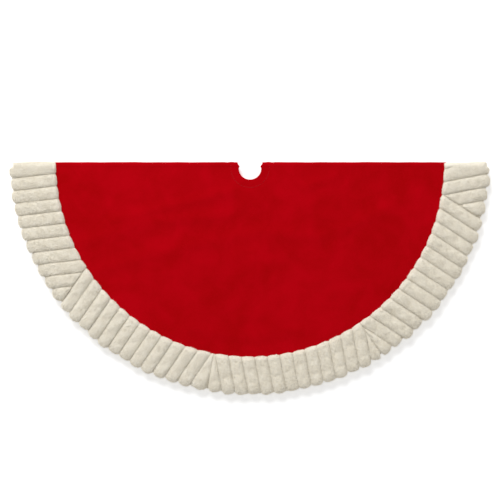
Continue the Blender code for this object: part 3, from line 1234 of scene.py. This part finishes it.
@dataclass
class SheetCut:
    """A flat cloth of one half: between two edges, from one radius curve to another."""

    name: str
    half: Half
    start: Edge
    end: Edge
    inner: Callable[[np.ndarray], np.ndarray]
    outer: Callable[[np.ndarray], np.ndarray]
    base: float
    top: float
    columns: int = 120
    rows: int = 48
    edge_steps: tuple[float, ...] = (0.0, 0.5, 1.2, 2.2, 3.6, 5.4, 8.0)
    fold_round: float = 0.0
    hem_round: float = 2.2 * MM
    relief: Callable[[np.ndarray, np.ndarray], np.ndarray] | None = None
    sag: Callable[[np.ndarray, np.ndarray], np.ndarray] | None = None
    grain: float = 0.0

    def __post_init__(self) -> None:
        """Sets the places of the points between the sheet's two curves."""
        close = np.array([0, 0.7, 2.0, 4.0, 7.0]) * MM
        self.near, self.far = close, -close[::-1]

    def grid(self) -> tuple[np.ndarray, np.ndarray]:
        """The x and y of the cloth's points, one row for each line from the hole outwards."""
        steps = np.array(self.edge_steps) * MM
        middle = np.linspace(0, 1, self.rows - 8)[1:-1]
        share = np.linspace(0, 1, self.columns)[1:-1]
        places = [("start", step) for step in steps] + [("share", value) for value in share]
        places += [("end", step) for step in steps[::-1]]
        xs, ys = [], []
        for kind, value in places:
            angle = np.full(len(self.near) * 2 + len(middle), (self.start.angle + self.end.angle) / 2)
            for _ in range(6):
                inner, outer = self.inner(angle), self.outer(angle)
                n = len(self.near)
                first, last = inner[n:-n] + self.near[-1], outer[n:-n] - self.near[-1]
                between = first + (last - first) * middle
                radius = np.concatenate([inner[:n] + self.near, between, outer[-n:] + self.far])
                if kind == "start":
                    angle = angle_on(Edge(self.start.angle, self.start.offset + value), 1, radius)
                elif kind == "end":
                    angle = angle_on(Edge(self.end.angle, self.end.offset + value), -1, radius)
                else:
                    low = angle_on(Edge(self.start.angle, self.start.offset + steps[-1]), 1, radius)
                    high = angle_on(Edge(self.end.angle, self.end.offset + steps[-1]), -1, radius)
                    angle = low + (high - low) * value
            x, y = polar(radius, angle)
            xs.append(x)
            ys.append(y)
        return np.array(xs), np.array(ys)

    def levels(self, x: np.ndarray, y: np.ndarray) -> tuple[np.ndarray, np.ndarray]:
        """The heights of the cloth's two sides at these places."""
        base = np.full_like(x, self.base) + (self.sag(x, y) if self.sag else 0)
        top = base + (self.top - self.base) + (self.relief(x, y) if self.relief else 0)
        angle = angle_of(x, y)
        hem = rounded(np.hypot(x, y) - self.inner(angle), self.hem_round)
        top = base + (top - base) * (0.45 + 0.55 * hem)
        if self.fold_round:
            falls = rounded(np.abs(y) - PLAN.half_gap, self.fold_round)
            top = PLAN.half_gap + (top - PLAN.half_gap) * falls
            base = np.minimum(base, np.maximum(top - 0.4 * MM, 0.05 * MM))
        return base, top

    def build(self) -> bpy.types.Object:
        """Builds the cloth, rounded at its edges, with its back under it."""
        x, y = self.grid()
        count, rows = x.shape
        base, top = self.levels(x, y)
        upper = drawn(x, y, top).reshape(-1, 3)
        lower = drawn(x, y, base).reshape(-1, 3)
        points = PLAN.place(np.concatenate([upper, lower]), self.half)
        total = count * rows
        faces = grid_faces(rows, count)
        faces += [tuple(index + total for index in face[::-1]) for face in faces]
        rim = list(range(rows)) + [column * rows + rows - 1 for column in range(1, count)]
        rim += [(count - 1) * rows + row for row in range(rows - 2, -1, -1)]
        rim += [column * rows for column in range(count - 2, 0, -1)]
        faces += [(a, b, b + total, a + total) for a, b in zip(rim, rim[1:] + rim[:1])]
        return mesh_object(self.name, points, faces)

    def flat_size(self) -> tuple[float, float, float]:
        """The cloth's flat width, length and area."""
        x, y = self.grid()
        ring_x = np.concatenate([x[:, -1], x[-1, ::-1], x[::-1, 0], x[0]])
        ring_y = np.concatenate([y[:, -1], y[-1, ::-1], y[::-1, 0], y[0]])
        area = abs(np.dot(ring_x, np.roll(ring_y, 1)) - np.dot(ring_y, np.roll(ring_x, 1))) / 2
        turn = math.radians(self.grain)
        width = np.ptp(ring_x * math.cos(turn) + ring_y * math.sin(turn))
        length = np.ptp(ring_y * math.cos(turn) - ring_x * math.sin(turn))
        return float(width), float(length), float(area)

    def dress(self, slot: str, finish: PileFinish | WeaveFinish, node: str, rests_on: Sequence[str]) -> None:
        """Args:
            slot: Not used.
            finish: Its finish.
            node: The solid that it stands for.
            rests_on: Not used.
        """
        cloth = self.build()
        attach(cloth, self.half, FINISHES.get(finish))
        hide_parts(node)
        width, length, area = self.flat_size()
        log.info("%s: %d faces, %.3f m2", cloth.name, len(cloth.data.polygons), area)


class PlushDisc:
    """The red middle: a front half disc and two back flaps, with soft wrinkles and a topstitched hole."""

    under_border = 6 * MM
    stitch_out = 20 * MM
    flap_slack = 0.4 * MM

    def __init__(self) -> None:
        """Draws the plush's unevenness."""
        self.slack = Ripple(7, 170 * MM)
        self.small = Ripple(8, 45 * MM)

    def held(self, x: np.ndarray, y: np.ndarray, lift: np.ndarray) -> np.ndarray:
        """A lift as the seams hold it: down at the border, flat at the fold, and sunk under the topstitching."""
        seam = eased((PLAN.panel_radius - np.hypot(x, y)) / (16 * MM))
        fold = eased(np.abs(y) / (14 * MM))
        angle = angle_of(x, y)
        from_stitches = np.hypot(x, y) - PLAN.hole_radius(angle, self.stitch_out)
        sunk = 0.7 * MM * np.exp(-((from_stitches / (2.6 * MM)) ** 2))
        return (lift + 0.2 * MM) * seam * fold - 0.5 * MM * (1 - seam) - sunk

    def relief(self, x: np.ndarray, y: np.ndarray) -> np.ndarray:
        """How far the front stands above its packed face."""
        lift = 0.5 * MM * self.slack(x, y) + 0.15 * MM * self.small(x, y)
        for drag in DRAGS:
            lift = lift + drag.relief(x, y)
        return self.held(x, y, lift)

    def flap_relief(self, x: np.ndarray, y: np.ndarray) -> np.ndarray:
        """The same for the flaps, which lie smoother."""
        lift = self.flap_slack * self.slack(-x, y) + 0.15 * MM * self.small(x, -y)
        turn = math.radians(PLAN.slit_angle)
        from_slit = np.abs(x * math.sin(turn) - y * math.cos(turn))
        return self.held(x, y, (lift + 0.2 * MM) * eased((from_slit - 27 * MM) / (20 * MM)) - 0.2 * MM)

    def panel(self, half: Half) -> SheetCut:
        """One half's panel."""
        start, end = PLAN.edges(half)
        return SheetCut(
            f"plush_{half.stem}",
            half,
            start,
            end,
            hole_edge,
            lambda angle: np.full_like(angle, PLAN.panel_radius + self.under_border),
            PLAN.face_base,
            PLAN.face_top,
            columns=110 if half.folded else 190,
            rows=76,
            fold_round=7.5 * MM,
            relief=self.flap_relief if half.folded else self.relief,
        )

    def stitch_line(self, half: Half, panel: SheetCut) -> np.ndarray:
        """The topstitching round the hole on one half."""
        start, end = PLAN.edges(half)
        angle = np.linspace(start.angle + 9, end.angle - 9, 60)
        x, y = polar(PLAN.hole_radius(angle, self.stitch_out), angle)
        _, top = panel.levels(x, y)
        return drawn(x, y, top + 0.15 * MM)

    def dress(self) -> None:
        """Builds the three panels in their plush."""
        for half in Half:
            panel = self.panel(half)
            panel.dress("plush_red", RED_PLUSH, f"{half.stem}_panel", [f"{half.stem}_lining"])
            line = self.stitch_line(half, panel)
            sew(f"hole_topstitch_{half.stem}", half, "plush_red", RED_THREAD, [line], Pitch=5 * MM)


@dataclass
class FoldRoll:
    """Cloth that goes round the fold from the front half to one flap."""

    name: str
    flap: Half
    first: float
    last: float
    stations: int
    height: Callable[[np.ndarray, np.ndarray, bool], np.ndarray]
    proud: Callable[[np.ndarray], np.ndarray]
    centre: float
    flat_run: tuple[float, ...]
    wall: float
    turn_height: float
    end_round: float
    arc: int = 18

    def build(self, end: int = 0) -> bpy.types.Object:
        """Builds the roll as a closed shell, swept along the fold.

        Args:
            end: 0 for the whole shell, or 1 for its outer side only.

        Returns:
            The roll's mesh object.
        """
        sign = 1 if self.flap is Half.BACK_RIGHT else -1
        step = (1 - np.cos(np.pi * np.linspace(0, 1, self.stations))) / 2
        step = 0.5 * step + 0.5 * np.linspace(0, 1, self.stations)
        along = self.first + (self.last - self.first) * step
        x = sign * along
        close = rounded(np.minimum(along - self.first, self.last - along) + 0.6 * MM, self.end_round)
        proud = self.proud(along) * close
        turn = np.radians(np.linspace(90, -90, self.arc))
        rows = []
        for inset in (0.0, self.wall):
            front, back = self.side(x, False, inset), self.side(x, True, inset)
            top, low = front[-1][1] * close, back[-1][1] * close
            line = [(u, h * (0.6 + 0.4 * close)) for u, h in front]
            for angle in turn:
                reach = (self.centre + proud - inset) * math.cos(angle)
                tall = np.where(math.sin(angle) >= 0, top, low) * math.sin(angle)
                line.append((self.centre - reach, tall))
            line += [(u, -h * (0.6 + 0.4 * close)) for u, h in back[::-1]]
            rows.append(line)
        path = rows[0] + ([] if end else rows[1][::-1])
        points = np.array([drawn(x, -u, h) for u, h in path])
        points = PLAN.place(points.transpose(1, 0, 2), Half.FRONT)
        count, loop = points.shape[:2]
        faces = grid_faces(loop, count, wrap=not end)
        if not end:
            faces += end_caps(loop, count)
        return mesh_object(self.name, points, faces)

    def side(self, x: np.ndarray, folded: bool, inset: float) -> list[tuple[np.ndarray, np.ndarray]]:
        """The places and heights where the roll lies on one half, from its edge to where it starts to turn."""
        line = []
        for i, run in enumerate(self.flat_run):
            sunk = self.wall + 0.2 * MM if i == 0 else -0.12 * MM
            line.append((np.full_like(x, run), self.height(x, np.full_like(x, -run), folded) - sunk - inset))
        return line

    def bend(self, obj: bpy.types.Object) -> None:
        """Bakes the piece's placement into its mesh."""
        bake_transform(obj)


def red_roll(flap: Half, disc: PlushDisc) -> FoldRoll:
    """The plush where it goes round the fold, from the hole to the border."""

    def face(x: np.ndarray, y: np.ndarray, folded: bool) -> np.ndarray:
        return PLAN.face_top + (disc.flap_relief(x, -y) if folded else disc.relief(x, y))

    def proud(along: np.ndarray) -> np.ndarray:
        lump = np.exp(-(((along - 46 * MM) / (5 * MM)) ** 2)) - np.exp(-(((along - 58 * MM) / (4 * MM)) ** 2))
        return 1.2 * MM + 0.2 * MM * Ripple(21, 60 * MM)(along, 0 * along) + 0.7 * MM * lump

    return FoldRoll(
        f"plush_roll_{flap.stem}",
        flap,
        first=31 * MM,
        last=PLAN.panel_radius + 5 * MM,
        stations=90,
        height=face,
        proud=proud,
        centre=6 * MM,
        flat_run=(13 * MM, 11 * MM, 8.5 * MM),
        wall=0.6 * MM,
        turn_height=4.5 * MM,
        end_round=4 * MM,
    )


def fur_roll(flap: Half, front: BorderSection, back: BorderSection) -> FoldRoll:
    """The border's fur where it goes round the fold, puffed a little past it."""
    middle, width, most = (585, 30, 1.6) if flap is Half.BACK_RIGHT else (533, 34, 2.4)

    def proud(along: np.ndarray) -> np.ndarray:
        return -0.4 * MM + most * MM * np.exp(-(((along / MM - middle) / width) ** 2))

    return FoldRoll(
        f"fur_roll_{flap.stem}",
        flap,
        first=PLAN.panel_radius - 2 * MM,
        last=float(PLAN.outer_radius(np.zeros(1))[0]) - 11 * MM,
        stations=60,
        height=lambda x, y, folded: (back if folded else front).height_at(x, -y if folded else y, False),
        proud=proud,
        centre=12 * MM,
        flat_run=(23 * MM, 20 * MM, 16 * MM),
        wall=1.2 * MM,
        turn_height=9 * MM,
        end_round=13 * MM,
    )


def dress_rolls(sections: Sequence[BorderSection], disc: PlushDisc) -> None:
    """Takes the plush and the fur round the fold on both sides of the hole."""
    by_name = {section.name: section for section in sections}
    for flap, number in ((Half.BACK_LEFT, 3), (Half.BACK_RIGHT, 7)):
        red = red_roll(flap, disc)
        fur = fur_roll(flap, by_name[f"{number}_front"], by_name[f"{number}_{flap.stem}"])
        for roll, slot, finish in ((red, "plush_red", RED_PLUSH), (fur, "fur_ivory", IVORY_FUR)):
            cloth = roll.build()
            cloth.data.materials.append(FINISHES.get(finish))
            roll.bend(cloth)
        guide = fur.build(end=1)
        guide.name = f"fur_roll_pile_{flap.stem}"
        lay = (0.6 if flap is Half.BACK_RIGHT else -0.6, -0.1, 0.0)
        sizes = {"Seed": 30 + number, "Lay": lay, "Stand": 0.2, "Stray": 0.35, "Density": PILE_DENSITY}
        pile = PILE.run(guide, FINISHES.get(FUR_TIPS), **sizes)
        fur.bend(pile)


@dataclass
class Underside:
    """What the skirt shows from below: the satin lining and the red facings."""

    inset: float = 9 * MM
    cloth: float = 0.6 * MM
    hem: float = 9 * MM
    facing_base: float = 1.25 * MM
    facing_top: float = 2.05 * MM
    joint: float = 0.3 * MM
    fold_inset: float = 0.6 * MM

    def __post_init__(self) -> None:
        """Draws the lining's unevenness."""
        self.slit_inset = PLAN.slit_width / 2 + PLAN.slit_facing_width + self.joint
        self.slack, self.small = Ripple(11, 150 * MM), Ripple(12, 38 * MM)

    def sag(self, x: np.ndarray, y: np.ndarray) -> np.ndarray:
        """How far the lining draws up towards the plush."""
        drawn = np.clip(0.5 * MM + 0.4 * MM * self.slack(x, y) + 0.15 * MM * self.small(x, y), 0, 1.2 * MM)
        return drawn * eased((np.abs(y) - 4 * MM) / (26 * MM))

    def lining_radius(self, angle: np.ndarray) -> np.ndarray:
        """The lining's outer edge, inside the border's."""
        return PLAN.outer_radius(angle) - self.inset

    def lining(self, half: Half) -> SheetCut:
        """One half's lining, from the hole's facing to inside the border's edge."""
        start, end = (
            Edge(edge.angle, self.slit_inset if edge.angle == PLAN.slit_angle else edge.offset + self.fold_inset)
            for edge in PLAN.edges(half)
        )
        return SheetCut(
            f"lining_{half.stem}",
            half,
            start,
            end,
            lambda angle: PLAN.hole_radius(angle, PLAN.facing_width + self.joint),
            self.lining_radius,
            PLAN.lining_base,
            PLAN.lining_base + self.cloth,
            columns=80 if half.folded else 130,
            sag=self.sag,
        )

    def hole_facing(self, half: Half) -> SheetCut:
        """The red band sewn round the hole, turned up at its edge to meet the plush."""

        def turned_up(x: np.ndarray, y: np.ndarray) -> np.ndarray:
            angle = angle_of(x, y)
            inside = np.hypot(x, y) - hole_edge(angle)
            return (PLAN.face_base - PLAN.lining_base - self.cloth) * (1 - eased(inside / (4 * MM)))

        start, end = PLAN.edges(half)
        return SheetCut(
            f"hole_facing_{half.stem}",
            half,
            start,
            end,
            hole_edge,
            lambda angle: PLAN.hole_radius(angle, PLAN.facing_width),
            PLAN.lining_base,
            PLAN.lining_base + self.cloth,
            columns=60 if half is Half.FRONT else 40,
            rows=20,
            hem_round=1.0 * MM,
            relief=turned_up,
        )

    def slit_facing(self, half: Half) -> SheetCut:
        """The red band sewn along one side of the slit."""
        near = Edge(PLAN.slit_angle, PLAN.slit_width / 2)
        far = Edge(PLAN.slit_angle, -PLAN.slit_width / 2 - PLAN.slit_facing_width)
        start, end = (near, far) if half is Half.BACK_LEFT else (far, near)
        return SheetCut(
            f"slit_facing_{half.stem}",
            half,
            start,
            end,
            lambda angle: PLAN.hole_radius(angle, PLAN.facing_width + self.joint),
            self.lining_radius,
            self.facing_base,
            self.facing_top,
            columns=8,
            rows=60,
            edge_steps=(0.0, 0.5, 1.2, 2.5, 5.0),
            grain=PLAN.slit_angle,
        )

    def dress(self) -> None:
        """Builds the linings and the facings, and sews their hems."""
        for half in Half:
            start, end = PLAN.edges(half)
            lining = self.lining(half)
            lining.dress("lining_ivory", IVORY_SATIN, f"{half.stem}_lining", [f"{half.stem}_panel"])
            angle = np.linspace(lining.start.angle + 5, lining.end.angle - 5, 200)
            hems = []
            for radius in (self.lining_radius(angle) - self.hem, self.lining_radius(angle) - 2 * MM):
                x, y = polar(radius, angle)
                hems.append(drawn(x, y, PLAN.lining_base + self.sag(x, y) - 0.1 * MM))
            sew(f"lining_hem_{half.stem}", half, "lining_ivory", IVORY_THREAD, hems, Pitch=4.5 * MM)
            facing = self.hole_facing(half)
            facing.dress("facing_red", RED_FACING, f"{half.stem}_hole_facing", [f"{half.stem}_panel"])
            angle = np.linspace(start.angle + 9, end.angle - 9, 60)
            x, y = polar(PLAN.hole_radius(angle, PLAN.facing_width - 2.5 * MM), angle)
            line = drawn(x, y, PLAN.lining_base - 0.05 * MM)
            sew(f"facing_stitches_{half.stem}", half, "facing_red", RED_THREAD, [line])
        for half in (Half.BACK_LEFT, Half.BACK_RIGHT):
            facing = self.slit_facing(half)
            facing.dress("facing_red", RED_FACING, f"{half.stem}_slit_facing", [f"{half.stem}_panel"])
            reach = np.linspace(PLAN.hole_half_width + 35 * MM, PLAN.border_radius - 25 * MM, 120)
            side = 1 if half is Half.BACK_LEFT else -1
            lines = []
            for out in (4 * MM, PLAN.slit_facing_width - 3 * MM):
                x, y = polar(reach, PLAN.slit_angle + side * np.degrees(np.arcsin(out / reach)))
                lines.append(drawn(x, y, self.facing_base - 0.05 * MM))
            sew(f"slit_stitches_{half.stem}", half, "facing_red", RED_THREAD, lines)


@dataclass
class SlitTape:
    """A short length of hook or loop tape, sewn on beside the slit."""

    number: int
    hooks: bool
    length: float = 40 * MM
    width: float = 20 * MM
    corner: float = 3 * MM
    selvedge: float = 2 * MM
    web: float = 0.35 * MM
    hook_pitch: float = 1.7 * MM

    def __post_init__(self) -> None:
        """Finds its place and its half."""
        self.half = Half.BACK_LEFT if self.hooks else Half.BACK_RIGHT
        self.kind = "hook" if self.hooks else "loop"
        self.node = f"{self.kind}_pad_{self.number}"
        low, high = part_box(self.node)
        self.centre = np.array([(low.x + high.x) / 2, PLAN.fold_y - (low.y + high.y) / 2])
        heights = sorted(PLAN.middle_z - z for z in (low.z, high.z))
        # The hooks point to the lining's side and the loops to the face's, so the web is on the other side.
        self.low = heights[1] - self.web if self.hooks else heights[0]
        self.high = heights[1] if self.hooks else heights[0] + self.web
        turn = math.radians(PLAN.slit_angle)
        self.along = np.array([-math.cos(turn), -math.sin(turn)])
        self.aside = np.array([self.along[1], -self.along[0]])

    def open_points(self, along: np.ndarray, aside: np.ndarray, height: float) -> np.ndarray:
        """Points of the open skirt from places on the tape."""
        flat = self.centre + np.outer(along, self.along) + np.outer(aside, self.aside)
        return drawn(flat[:, 0], flat[:, 1], height)

    def points(self, along: np.ndarray, aside: np.ndarray, height: float) -> np.ndarray:
        """The same points, placed where the tape's half lies."""
        return PLAN.place(self.open_points(along, aside, height), self.half)

    def outline(self, inset: float) -> tuple[np.ndarray, np.ndarray]:
        """The tape's rounded outline, moved in by `inset`."""
        corner = max(self.corner - inset, 0.3 * MM)
        run, out = self.length / 2 - inset - corner, self.width / 2 - inset - corner
        turn = np.radians(np.arange(0, 91, 18))
        along, aside = [], []
        for quarter, (way, across) in enumerate(((1, 1), (-1, 1), (-1, -1), (1, -1))):
            angle = turn + np.pi / 2 * quarter
            along.append(way * run + corner * np.cos(angle))
            aside.append(across * out + corner * np.sin(angle))
        return np.concatenate(along), np.concatenate(aside)

    def dress(self) -> None:
        """Builds the woven web, its hooks or loops, and the stitches that hold it."""
        rings = [
            self.points(*self.outline(inset), height)
            for inset, height in (
                (0.15 * MM, self.low),
                (0.0, self.low + 0.12 * MM),
                (0.0, self.high - 0.12 * MM),
                (0.15 * MM, self.high),
            )
        ]
        count = len(rings[0])
        faces = grid_faces(count, len(rings), wrap=True) + end_caps(count, len(rings))
        web = mesh_object(f"{self.kind}_tape_{self.number}", np.concatenate(rings), faces)
        slot = f"{self.kind}_tape_red"
        attach(web, self.half, FINISHES.get(RED_TAPE if self.hooks else LOOP_PILE))
        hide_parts(self.node)
        inside = (self.length / 2 - self.selvedge, self.width / 2 - self.selvedge)
        if self.hooks:
            axes = [np.arange(-reach, reach, self.hook_pitch) for reach in inside]
            along, aside = (grid.ravel() for grid in np.meshgrid(*axes))
            guide = line_mesh(f"hooks_{self.number}", [self.points(along, aside, self.low)])
            bristles = HOOKS.run(guide, FINISHES.get(RED_TAPE))
        else:
            along, aside = (np.array(v) for v in ((-1, 1, 1, -1), (-1, -1, 1, 1)))
            guide = mesh_object(
                f"loops_{self.number}", self.points(along * inside[0], aside * inside[1], self.high), [(0, 1, 2, 3)]
            )
            if guide.data.polygons[0].normal.z > 0:
                guide.data.flip_normals()
            sizes = {"Length": 1.0 * MM, "Width": 0.24 * MM, "Density": 3e6, "Stray": 0.9, "Lay": (0.0, 0.0, 0.0)}
            bristles = PILE.run(guide, FINISHES.get(LOOP_PILE), **sizes)
        attach(bristles, self.half)
        height = self.low - 0.05 * MM if self.hooks else self.high + 0.05 * MM
        ring = self.open_points(*self.outline(1.4 * MM), height)
        line = np.concatenate([ring, ring[:1]])
        sizes = {"Pitch": 2.6 * MM, "Size": (1.0 * MM, 0.3 * MM, 0.2 * MM)}
        sew(f"{self.kind}_tape_stitches_{self.number}", self.half, slot, RED_THREAD, [line], **sizes)


# Stage


@dataclass(frozen=True)
class Studio:
    """A white table, broad soft light from the fold's side, and a camera straight above."""

    table_size: float = 30.0
    view_height: float = 3.5
    view_width: float = 1.262
    view_y: float = 0.0734
    sky: float = 0.52
    glow: float = 0.34
    key: float = 198.0
    key_size: float = 2.4
    key_place: tuple[float, float, float] = (-1.2, 3.6, 3.4)

    def build(self) -> None:
        """Makes the table, the lights and the camera."""
        half = self.table_size / 2
        corners = [(-half, -half, 0), (half, -half, 0), (half, half, 0), (-half, half, 0)]
        table = mesh_object("table", np.array(corners) + (0, 0, -0.3 * MM), [(0, 1, 2, 3)])
        material, _, shader = new_material("matt_white_paper")
        shader.inputs["Base Color"].default_value = linear("#FAFAFA")
        shader.inputs["Roughness"].default_value = 0.9
        shader.inputs["Specular IOR Level"].default_value = 0.1
        shader.inputs["Emission Color"].default_value = linear("#FFFFFF")
        shader.inputs["Emission Strength"].default_value = self.glow
        table.data.materials.append(material)
        world = bpy.data.worlds.new("studio")
        bpy.context.scene.world = world
        world.use_nodes = True
        world.node_tree.nodes["Background"].inputs["Color"].default_value = linear("#FFFFFF")
        world.node_tree.nodes["Background"].inputs["Strength"].default_value = self.sky
        self.add_light("key", self.key_place, (0, 0, 0), self.key_size, self.key)
        self.add_camera()
        bpy.context.scene.view_settings.view_transform = "Standard"

    def add_light(
        self, name: str, place: Sequence[float], target: Sequence[float], size: float, watts: float
    ) -> None:
        """Adds a square area light that faces a point."""
        light = bpy.data.lights.new(name, "AREA")
        light.size = size
        light.energy = watts
        obj = add_object(name, light)
        obj.location = place
        obj.rotation_mode = "QUATERNION"
        obj.rotation_quaternion = (Vector(place) - Vector(target)).to_track_quat("Z", "Y")

    def add_camera(self) -> None:
        """Adds the camera, which looks straight down with the fold at the top."""
        data = bpy.data.cameras.new("camera")
        data.sensor_width = 36.0
        data.lens = data.sensor_width * self.view_height / self.view_width
        camera = add_object("camera", data)
        camera.location = (0.0, self.view_y, self.view_height + 2 * PLAN.middle_z)
        bpy.context.scene.camera = camera


def main() -> None:
    """Builds the skirt's looks in order."""
    Studio().build()
    sections, disc = border_sections(), PlushDisc()
    for section in sections:
        section.dress()
    disc.dress()
    dress_rolls(sections, disc)
    Underside().dress()
    for number in (1, 2, 3):
        for hooks in (True, False):
            SlitTape(number, hooks).dress()


if __name__ == "__main__":
    main()
